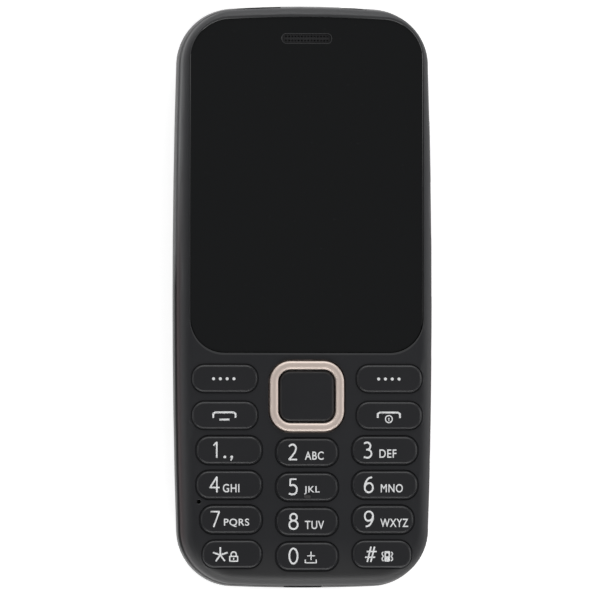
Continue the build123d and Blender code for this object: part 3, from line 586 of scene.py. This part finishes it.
# Digit strokes in a box one wide and one high: (points, closed, smooth)
digitStrokes = {
    "0": [(ellipsePoints(0.5, 0.5, 0.5, 0.5), True, True)],
    "1": [([(0.0, 0.80), (1.0, 1.0), (1.0, 0.0)], False, False)],
    "2": [([(0.03, 0.86), (0.28, 0.98), (0.62, 0.98), (0.87, 0.82), (0.83, 0.60), (0.50, 0.30), (0.02, 0.0)],
           False, True), ([(0.02, 0.0), (1.0, 0.0)], False, False)],
    "3": [([(0.05, 0.93), (0.40, 1.0), (0.80, 0.90), (0.84, 0.68), (0.62, 0.55), (0.32, 0.52)],
           False, True),
          ([(0.32, 0.52), (0.68, 0.50), (0.97, 0.34), (0.90, 0.10), (0.52, -0.01), (0.0, 0.04)],
           False, True)],
    "4": [([(0.74, 0.0), (0.74, 1.0), (0.0, 0.30), (1.0, 0.30)], False, False)],
    "5": [([(0.90, 1.0), (0.20, 1.0), (0.16, 0.57)], False, False),
          ([(0.16, 0.57), (0.52, 0.61), (0.88, 0.50), (0.97, 0.27), (0.80, 0.06), (0.44, -0.01),
            (0.02, 0.04)], False, True)],
    "6": [([(0.88, 0.99), (0.50, 0.92), (0.15, 0.66), (0.02, 0.32), (0.16, 0.07), (0.52, -0.01), (0.88, 0.10),
            (0.98, 0.32), (0.84, 0.53), (0.50, 0.60), (0.14, 0.48), (0.03, 0.30)], False, True)],
    "7": [([(0.0, 1.0), (1.0, 1.0), (0.32, 0.0)], False, False)],
    "8": [(ellipsePoints(0.5, 0.77, 0.40, 0.23), True, True),
          (ellipsePoints(0.5, 0.27, 0.5, 0.28), True, True)],
}
digitStrokes["9"] = [([(1 - x, 1 - y) for x, y in points], closed, smooth)
                     for points, closed, smooth in digitStrokes["6"]]


def digitMeshes(digit, left, foot, width):
    stroke = inkStyle["digitStroke"]
    wide = width - stroke
    tall = inkStyle["digitHeight"] - stroke
    meshes = []
    for points, closed, smooth in digitStrokes[digit]:
        placed = [(left + stroke / 2 + x * wide, foot + stroke / 2 + y * tall) for x, y in points]
        meshes.append(inkLine(placed, stroke * (1 if smooth else inkStyle["straightShare"]), closed, smooth))
    return meshes


# Number keys: digit, its left and width, letters, their left and width, in mm from the middle line
keyMarks = {
    "key_1": ("1", -19.32, 1.00, "", 0, 0),
    "key_2": ("2", -3.97, 2.02, "ABC", -0.50, 3.86),
    "key_3": ("3", 11.36, 1.96, "DEF", 14.76, 3.50),
    "key_4": ("4", -20.06, 2.24, "GHI", -17.26, 3.38),
    "key_5": ("5", -3.98, 2.07, "JKL", -0.68, 3.22),
    "key_6": ("6", 11.54, 2.10, "MNO", 15.04, 4.52),
    "key_7": ("7", -19.86, 2.06, "PQRS", -17.04, 5.16),
    "key_8": ("8", -3.86, 2.08, "TUV", -0.50, 3.94),
    "key_9": ("9", 11.56, 2.10, "WXYZ", 14.95, 5.72),
    "key_0": ("0", -3.86, 2.04, "", 0, 0),
}


keyNib = {"rise": 0.15 * mm, "width": 1.40 * mm, "height": 0.60 * mm, "drop": 1.95 * mm, "heart": 0.1,
          "heartCorner": 0.04, "foot": 0.02 * mm, "top": 0.01 * mm}


# Joins meshes into one piece that lies on a key's cap and rides with it
def printOnKey(name, node, meshes):
    low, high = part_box(node)
    capZ = high[2] - keyNib["rise"] * (node == "key_5")
    joined = bmesh.new()
    for mesh in meshes:
        mesh.transform(Matrix.Translation((0, 0, capZ + inkStyle["thickness"] * inkStyle["raisedShare"])))
        joined.from_mesh(mesh)
        bpy.data.meshes.remove(mesh)
    bmesh.ops.remove_doubles(joined, verts=joined.verts, dist=inkStyle["mergeReach"])
    bmesh.ops.recalc_face_normals(joined, faces=joined.faces)
    result = bpy.data.meshes.new(name)
    joined.to_mesh(result)
    joined.free()
    result.materials.append(materials["whiteInk"])
    item = addItem(name, result)
    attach(item, node)


commaMark = {"dots": (-16.86 * mm, -15.46 * mm), "dotRise": 0.27 * mm, "dotRadius": 0.28 * mm,
             "top": (-15.30 * mm, 0.16 * mm), "foot": (-15.62 * mm, -0.42 * mm)}
trayMark = {"middle": 0.76 * mm, "plusReach": 0.74 * mm, "plusRise": 0.10 * mm, "plusFoot": -0.68 * mm,
            "plusTop": 0.88 * mm, "left": -0.40 * mm, "right": 1.82 * mm, "sideTop": -0.70 * mm,
            "foot": -1.32 * mm}
for node, (digit, left, width, letters, lettersLeft, lettersWidth) in keyMarks.items():
    middleY = middleOf(node)[1]
    foot = middleY - inkStyle["footDrop"]
    meshes = digitMeshes(digit, left * mm, foot, width * mm)
    if letters:
        meshes.append(inkLetters(letters, lettersLeft * mm, foot + inkStyle["letterRise"], lettersWidth * mm,
                                 inkStyle["letterHeight"]))
    if node == "key_1":
        for x in commaMark["dots"]:
            meshes.append(inkDot(x, foot + commaMark["dotRise"], commaMark["dotRadius"]))
        tail = [(x, foot + rise) for x, rise in (commaMark["top"], commaMark["foot"])]
        meshes.append(inkLine(tail, inkStyle["iconFine"]))
    if node == "key_0":
        middle, reach, rise = trayMark["middle"], trayMark["plusReach"], trayMark["plusRise"]
        across = [(middle - reach, rise), (middle + reach, rise)]
        upright = [(middle, trayMark["plusFoot"]), (middle, trayMark["plusTop"])]
        tray = [(trayMark["left"], trayMark["sideTop"]), (trayMark["left"], trayMark["foot"]),
                (trayMark["right"], trayMark["foot"]), (trayMark["right"], trayMark["sideTop"])]
        for line in (across, upright, tray):
            meshes.append(inkLine([(x, middleY + y) for x, y in line], inkStyle["iconFine"]))
    printOnKey("print_" + node, node, meshes)
print("number keys printed")


# Star key: five arms and a padlock
starMark = {"x": -17.78 * mm, "rise": -0.15 * mm, "reach": 1.50 * mm, "arms": 5, "strokeShare": 0.9}
padlock = {"x": -15.05 * mm, "half": 0.80 * mm, "top": -0.45 * mm, "foot": -1.42 * mm, "bodyShare": 1.15,
           "bowShare": 1.2, "bow": ((-0.50, -0.45), (-0.46, 0.20), (0.0, 0.46), (0.46, 0.20), (0.50, -0.45)),
           "keyhole": (-0.78 * mm, -1.10 * mm)}
middleY = middleOf("key_star")[1]
starY = middleY + starMark["rise"]
arms = []
for arm in range(starMark["arms"]):
    turn = math.radians(90 + 360 / starMark["arms"] * arm)
    tip = (starMark["x"] + starMark["reach"] * math.cos(turn), starY + starMark["reach"] * math.sin(turn))
    arms.append(inkLine([(starMark["x"], starY), tip], inkStyle["digitStroke"] * starMark["strokeShare"]))
body = [(padlock["x"] + side * padlock["half"], middleY + padlock[level])
        for side, level in ((-1, "top"), (1, "top"), (1, "foot"), (-1, "foot"))]
arms.append(inkLine(body, inkStyle["iconFine"] * padlock["bodyShare"], closed=True))
bow = [(padlock["x"] + x * mm, middleY + y * mm) for x, y in padlock["bow"]]
arms.append(inkLine(bow, inkStyle["iconFine"] * padlock["bowShare"], smooth=True))
arms.append(inkLine([(padlock["x"], middleY + rise) for rise in padlock["keyhole"]], inkStyle["iconFine"]))
printOnKey("print_key_star", "key_star", arms)

# Hash key: the slanted hash and a small phone with wave marks
middleY = middleOf("key_hash")[1]
hashMark = {"middle": 13.02 * mm, "spread": 0.36 * mm, "top": 1.45 * mm, "foot": -1.50 * mm,
            "slant": 0.74 * mm, "halfBar": 0.97 * mm, "barRise": (0.54 * mm, -0.62 * mm),
            "barShift": 0.16 * mm, "strokeShare": 0.9}
hashStroke = inkStyle["iconStroke"] * hashMark["strokeShare"]
bars = []
for side in (-1, 1):
    x = hashMark["middle"] + side * hashMark["spread"]
    rise = middleY + hashMark["barRise"][(1 - side) // 2]
    barX = hashMark["middle"] + side * hashMark["barShift"]
    bars.append(inkLine([(x - hashMark["slant"] / 2, middleY + hashMark["foot"]),
                         (x + hashMark["slant"] / 2, middleY + hashMark["top"])], hashStroke))
    bars.append(inkLine([(barX - hashMark["halfBar"], rise), (barX + hashMark["halfBar"], rise)], hashStroke))
buzz = {"x": 16.37 * mm, "halfWidth": 0.41 * mm, "top": 0.47 * mm, "foot": -1.33 * mm, "stroke": 0.32 * mm,
        "fills": (0.34 * mm, -0.60 * mm, -0.84 * mm, -1.08 * mm),
        "wave": ((0.78, 0.46), (1.04, 0.24), (0.98, -0.16), (0.80, -0.44), (0.98, -0.72), (1.04, -1.12),
                 (0.78, -1.36))}
bars.append(inkLine([(buzz["x"] + side * buzz["halfWidth"], middleY + rise)
                     for side, rise in ((-1, buzz["top"]), (1, buzz["top"]), (1, buzz["foot"]),
                                        (-1, buzz["foot"]))], buzz["stroke"], closed=True))
for rise in buzz["fills"]:
    bars.append(inkLine([(buzz["x"] - buzz["halfWidth"], middleY + rise),
                         (buzz["x"] + buzz["halfWidth"], middleY + rise)], buzz["stroke"]))
for side in (-1, 1):
    wave = [(buzz["x"] + side * across * mm, middleY + rise * mm) for across, rise in buzz["wave"]]
    bars.append(inkLine(wave, inkStyle["iconFine"], smooth=True))
printOnKey("print_key_hash", "key_hash", bars)

# Call key: a handset over a bar; end key: a handset over a power ring
handset = {"halfWidth": 2.28 * mm, "top": 0.60 * mm, "ends": -0.42 * mm, "stroke": 0.38 * mm, "flat": 0.8,
           "shoulder": 0.55, "callX": -16.95 * mm, "endX": 16.70 * mm}
callBar = {"half": 0.95 * mm, "rise": -0.86 * mm}
powerMark = {"rise": -0.72 * mm, "radius": 0.70 * mm, "stroke": (-0.55 * mm, -0.98 * mm)}


def handsetLine(x, middleY):
    half, top = handset["halfWidth"], handset["top"]
    bend = ((1, handset["ends"]), (1, top * handset["shoulder"]), (handset["flat"], top))
    left = [(x - half * share, middleY + rise) for share, rise in bend]
    right = [(x + half * share, middleY + rise) for share, rise in reversed(bend)]
    return inkLine(left + right, handset["stroke"])


middleY = middleOf("call_key")[1]
printOnKey("print_call_key", "call_key", [
    handsetLine(handset["callX"], middleY),
    inkLine([(handset["callX"] + side * callBar["half"], middleY + callBar["rise"]) for side in (-1, 1)],
            handset["stroke"]),
])
middleY = middleOf("end_key")[1]
powerRing = ellipsePoints(handset["endX"], middleY + powerMark["rise"], powerMark["radius"],
                          powerMark["radius"])
printOnKey("print_end_key", "end_key", [
    handsetLine(handset["endX"], middleY),
    inkLine(powerRing, inkStyle["iconFine"], closed=True, smooth=True),
    inkLine([(handset["endX"], middleY + rise) for rise in powerMark["stroke"]], inkStyle["iconFine"]),
])
print("control keys printed")


# Points round a rectangle with round corners, anticlockwise
def roundedPoints(x, y, width, height, radius, steps=8):
    points = []
    for quarter, (sideX, sideY) in enumerate(((1, 1), (-1, 1), (-1, -1), (1, -1))):
        for step in range(steps + 1):
            turn = math.radians(90 * (quarter + step / steps))
            points.append((x + sideX * (width / 2 - radius) + radius * math.cos(turn),
                           y + sideY * (height / 2 - radius) + radius * math.sin(turn)))
    return points


# A flat band between two outlines with the same number of points
def bandMesh(name, outer, inner, low, high):
    levels = [[(x, y, z) for x, y in outline] for z in (low, high) for outline in (outer, inner)]
    count = len(outer)
    faces = []
    for first, second in ((0, 2), (2, 3), (3, 1), (1, 0)):
        for step in range(count):
            after = (step + 1) % count
            faces.append((first * count + step, first * count + after, second * count + after,
                          second * count + step))
    mesh = bpy.data.meshes.new(name)
    mesh.from_pydata([point for level in levels for point in level], [], faces)
    return mesh


def placeMesh(name, mesh, material, body):
    mesh.materials.append(materials[material])
    item = addItem(name, mesh)
    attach(item, body)


# Soft skirts that ride on the keys and close most of the gap round each cap
skirt = {"flange": 0.35 * mm, "reach": 0.16 * mm, "overlap": 0.10 * mm, "drop": 0.16 * mm, "depth": 0.30 * mm,
         "capHeight": 5.6 * mm, "corner": 2.55 * mm}
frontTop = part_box("front_housing")[1][2]
for node in keyNames:
    if node != "nav_key":
        low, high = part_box(node)
        middleX, middleY = middleOf(node)
        capWidth = high[0] - low[0] - skirt["flange"] * 2
        outlines = [roundedPoints(middleX, middleY, capWidth + grow * 2, skirt["capHeight"] + grow * 2,
                                  skirt["corner"] + grow) for grow in (skirt["reach"], -skirt["overlap"])]
        mesh = bandMesh("skirt_" + node, *outlines, frontTop - skirt["drop"] - skirt["depth"],
                        frontTop - skirt["drop"])
        placeMesh("skirt_" + node, mesh, "keyPlastic", node)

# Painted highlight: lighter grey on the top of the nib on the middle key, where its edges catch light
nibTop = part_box("key_5")[1][2]
nibX, nibY = middleOf("key_5")
nibY -= keyNib["drop"]
nibOutlines = [roundedPoints(nibX, nibY, keyNib["width"] * share, keyNib["height"] * share,
                             keyNib["height"] * corner)
               for share, corner in ((1, 0.5), (keyNib["heart"], keyNib["heartCorner"]))]
nibMesh = bandMesh("key_nib", *nibOutlines, nibTop - keyNib["foot"], nibTop + keyNib["top"])
placeMesh("key_nib", nibMesh, "greyPlastic", "key_5")

# Painted highlight: a lighter strip on the edge of the front housing all round the window
windowEdge = {"inward": (0.02 * mm, 0.10 * mm), "outward": (0.07 * mm, 0.32 * mm), "thickness": 0.05 * mm,
              "proud": 0.01 * mm}
windowLow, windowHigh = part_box("display_window")
windowPoints = [(vertex.co.x, vertex.co.y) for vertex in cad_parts["display_window"].data.vertices]
windowOutline = [windowPoints[index] for index in convex_hull_2d(windowPoints)]
windowSize = [windowHigh[axis] - windowLow[axis] for axis in range(2)]
windowMiddle = [(windowLow[axis] + windowHigh[axis]) / 2 for axis in range(2)]
edgeOutlines = []
for side, key in ((1, "outward"), (-1, "inward")):
    scales = [1 + side * windowEdge[key][axis] * 2 / windowSize[axis] for axis in range(2)]
    edgeOutlines.append([tuple(windowMiddle[axis] + (point[axis] - windowMiddle[axis]) * scales[axis]
                               for axis in range(2)) for point in windowOutline])
edgeTop = frontTop + windowEdge["proud"]
edgeMesh = bandMesh("window_edge_highlight", *edgeOutlines, edgeTop - windowEdge["thickness"], edgeTop)
placeMesh("window_edge_highlight", edgeMesh, "edgePlastic", "phone")

# Polished rim of the earpiece slot
slotRim = {"growX": 0.10 * mm, "growY": 0.24 * mm, "width": 0.13 * mm, "corner": 0.90 * mm,
           "thickness": 0.03 * mm}
slotLow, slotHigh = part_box("earpiece_mesh")
slotWidth, slotHeight = slotHigh[0] - slotLow[0], slotHigh[1] - slotLow[1]
slotX, slotY = (slotLow[0] + slotHigh[0]) / 2, (slotLow[1] + slotHigh[1]) / 2
rimOutlines = [roundedPoints(slotX, slotY, slotWidth + (slotRim["growX"] - inward) * 2,
                             slotHeight + (slotRim["growY"] - inward) * 2, slotRim["corner"] - inward)
               for inward in (0, slotRim["width"])]
rimMesh = bandMesh("earpiece_rim", *rimOutlines, windowHigh[2] - slotRim["thickness"] / 2,
                   windowHigh[2] + slotRim["thickness"] / 2)
placeMesh("earpiece_rim", rimMesh, "rimPlating", "phone")
print("skirts, nib and earpiece rim placed")


# Geometry Nodes: a tree with named inputs, ending in Realize Instances and Set Material
def newTree(name, sizes):
    tree = bpy.data.node_groups.new(name, "GeometryNodeTree")
    for label, kind in sizes.items():
        tree.interface.new_socket(label, in_out="INPUT", socket_type=kind)
    tree.interface.new_socket("Geometry", in_out="OUTPUT", socket_type="NodeSocketGeometry")
    recipe = Recipe(tree)
    entry = tree.nodes.new("NodeGroupInput")
    inputs = {label: Wire(recipe, entry.outputs[label]) for label in sizes}
    return tree, recipe, inputs


def closeTree(recipe, instances, material):
    real = recipe.node("GeometryNodeRealizeInstances", {}, {0: instances})
    coated = recipe.node("GeometryNodeSetMaterial", {}, {0: real, "Material": materials[material]})
    recipe.node("NodeGroupOutput", {}, {0: coated})


def growTree(name, tree, sizes, place):
    item = addItem(name + "Seed", bpy.data.meshes.new(name + "Seed"))
    modifier = item.modifiers.new("grow", "NODES")
    modifier.node_group = tree
    for socket in tree.interface.items_tree:
        if socket.in_out == "INPUT":
            modifier[socket.identifier] = sizes[socket.name]
    mesh = asMesh(item)
    mesh.transform(Matrix.Translation(place))
    return addItem(name, mesh)


# Four dots in a row on each soft key
dotRow = {"count": 4, "pitch": 1.39 * mm, "radius": 0.31 * mm, "sides": 20, "thickness": 0.03 * mm,
          "rise": -0.06 * mm, "starts": {"soft_key_left": -19.16 * mm, "soft_key_right": 14.62 * mm}}
dotTree, dots, dotSizes = newTree("dotRow", {"Count": "NodeSocketInt", "Pitch": "NodeSocketVector",
                                            "Radius": "NodeSocketFloat", "Thickness": "NodeSocketFloat"})
dotLine = dots.node("GeometryNodeMeshLine", {"mode": "OFFSET"}, {"Count": dotSizes["Count"],
                                                                "Offset": dotSizes["Pitch"]})
dotDisc = dots.node("GeometryNodeMeshCylinder", {}, {"Vertices": dotRow["sides"],
                                                    "Radius": dotSizes["Radius"],
                                                    "Depth": dotSizes["Thickness"]})
dotDiscs = dots.node("GeometryNodeInstanceOnPoints", {}, {"Points": dotLine, "Instance": dotDisc})
closeTree(dots, dotDiscs, "whiteInk")
for node, startX in dotRow["starts"].items():
    row = growTree("print_" + node, dotTree, {
        "Count": dotRow["count"], "Pitch": (dotRow["pitch"], 0.0, 0.0),
        "Radius": dotRow["radius"], "Thickness": dotRow["thickness"]},
        (startX, middleOf(node)[1] + dotRow["rise"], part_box(node)[1][2]))
    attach(row, node)

# Woven dust cloths behind the earpiece slot and the loudspeaker grille
weaveTree, weave, weaveSizes = newTree("dustCloth", {
    "Across": "NodeSocketInt", "Along": "NodeSocketInt", "Pitch": "NodeSocketFloat",
    "Width": "NodeSocketFloat", "Length": "NodeSocketFloat", "Wire": "NodeSocketFloat"})
weftShare = 0.8  # thickness of the strands across, against those along
strands = []
for count, span, axis, thick in (("Across", "Length", 0, 1.0), ("Along", "Width", 1, weftShare)):
    reach = (weaveSizes[count] - 1.0) * weaveSizes["Pitch"]
    line = weave.node("GeometryNodeMeshLine", {"mode": "OFFSET"}, {
        "Count": weaveSizes[count],
        "Start Location": weave.node("ShaderNodeCombineXYZ", {}, {axis: reach * -0.5}),
        "Offset": weave.node("ShaderNodeCombineXYZ", {}, {axis: weaveSizes["Pitch"]})})
    size = {axis: weaveSizes["Wire"], 1 - axis: weaveSizes[span], 2: weaveSizes["Wire"] * thick}
    bar = weave.node("GeometryNodeMeshCube", {}, {"Size": weave.node("ShaderNodeCombineXYZ", {}, size)})
    strands.append(weave.node("GeometryNodeInstanceOnPoints", {}, {"Points": line, "Instance": bar}))
joinedStrands = weave.tree.nodes.new("GeometryNodeJoinGeometry")
for strand in strands:
    weave.tree.links.new(strand.socket, joinedStrands.inputs[0])
closeTree(weave, Wire(weave, joinedStrands.outputs[0]), "blackSteel")

earWeave = {"sideRoom": 1.4 * mm, "endRoom": 0.5 * mm, "pitch": 0.22 * mm, "wire": 0.06 * mm,
            "depth": 0.40 * mm}
earWidth = slotWidth - earWeave["sideRoom"]
earHeight = slotHeight - earWeave["endRoom"]
earCloth = growTree("earpiece_cloth", weaveTree, {
    "Across": int(earWidth / earWeave["pitch"]), "Along": int(earHeight / earWeave["pitch"]),
    "Pitch": earWeave["pitch"], "Width": earWidth, "Length": earHeight, "Wire": earWeave["wire"]},
    (slotX, slotY, slotHigh[2] - earWeave["depth"]))
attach(earCloth, "phone")

grilleWeave = {"Across": 34, "Along": 40, "Pitch": 0.3 * mm, "Width": 10.2 * mm, "Length": 12.0 * mm,
               "Wire": 0.08 * mm}
grilleRise = 1.30 * mm
grilleCloth = growTree("grille_cloth", weaveTree, grilleWeave,
                       (*middleOf("loudspeaker"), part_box("battery_cover")[0][2] + grilleRise))
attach(grilleCloth, "battery_cover")
print("dots and dust cloths grown")

# Floor, light and camera
floorLook = {"reach": 3.0, "paperNoise": (700.0, 3.0, 0.5), "dark": tint(0.90, 0.90, 0.90),
             "light": tint(0.93, 0.93, 0.93), "rough": 0.75, "sheen": 0.2, "glow": 0.60}
floorReach = floorLook["reach"]
floorMesh = bpy.data.meshes.new("floor")
floorMesh.from_pydata([(-floorReach, -floorReach, 0), (floorReach, -floorReach, 0),
                       (floorReach, floorReach, 0), (-floorReach, floorReach, 0)], [], [(0, 1, 2, 3)])
floor = addItem("floor", floorMesh)
floorMaterial, floorRecipe = newMaterial("paleFloor")
paper = noise(floorRecipe, objectPlace(floorRecipe), floorLook["paperNoise"])
closeMaterial(floorRecipe, {
    "Base Color": blend(floorRecipe, paper, floorLook["dark"], floorLook["light"]),
    "Roughness": floorLook["rough"],
    "Specular IOR Level": floorLook["sheen"],
    "Emission Color": tint(1.0, 1.0, 1.0),
    "Emission Strength": floorLook["glow"],
})
floorMesh.materials.append(floorMaterial)

roomStrength = 0.17
world = bpy.data.worlds.new("studio")
world.use_nodes = True
room = world.node_tree.nodes["Background"]
room.inputs["Color"].default_value = tint(1.0, 1.0, 1.0)
room.inputs["Strength"].default_value = roomStrength
bpy.context.scene.world = world
bpy.context.scene.view_settings.view_transform = "Standard"

softBoxes = {
    "topLight": {"place": (0.0, 0.75, 0.26), "size": (1.1, 0.30), "power": 5.6},
    "leftLight": {"place": (-0.75, 0.05, 0.20), "size": (0.25, 1.0), "power": 1.0},
    "rightLight": {"place": (0.75, 0.05, 0.20), "size": (0.25, 1.0), "power": 2.2},
    "footLight": {"place": (0.0, -0.75, 0.34), "size": (1.1, 0.25), "power": 4.9},
}
for name, box in softBoxes.items():
    lamp = bpy.data.lights.new(name, "AREA")
    lamp.shape = "RECTANGLE"
    lamp.size, lamp.size_y = box["size"]
    lamp.energy = box["power"]
    lampItem = addItem(name, lamp)
    lampItem.location = box["place"]
    lampItem.rotation_euler = (-Vector(box["place"])).to_track_quat("-Z", "Y").to_euler()

view = {"leftTilt": 8.0, "topTilt": -1.0, "distance": 3.0, "frameWidth": 121.86 * mm, "sensor": 36.0,
        "aim": (-0.47 * mm, -0.61 * mm, 6.5 * mm)}
aim = Vector(view["aim"])
away = Vector((-math.tan(math.radians(view["leftTilt"])), math.tan(math.radians(view["topTilt"])), 1.0))
away.normalize()
cameraData = bpy.data.cameras.new("camera")
cameraData.sensor_width = view["sensor"]
cameraData.lens = view["sensor"] * view["distance"] / view["frameWidth"]
camera = addItem("camera", cameraData)
right = Vector((0, 1, 0)).cross(away).normalized()
upward = away.cross(right)
turn = Matrix((right, upward, away)).transposed().to_4x4()
camera.matrix_world = Matrix.Translation(aim + away * view["distance"]) @ turn
bpy.context.scene.camera = camera
print("stage set")
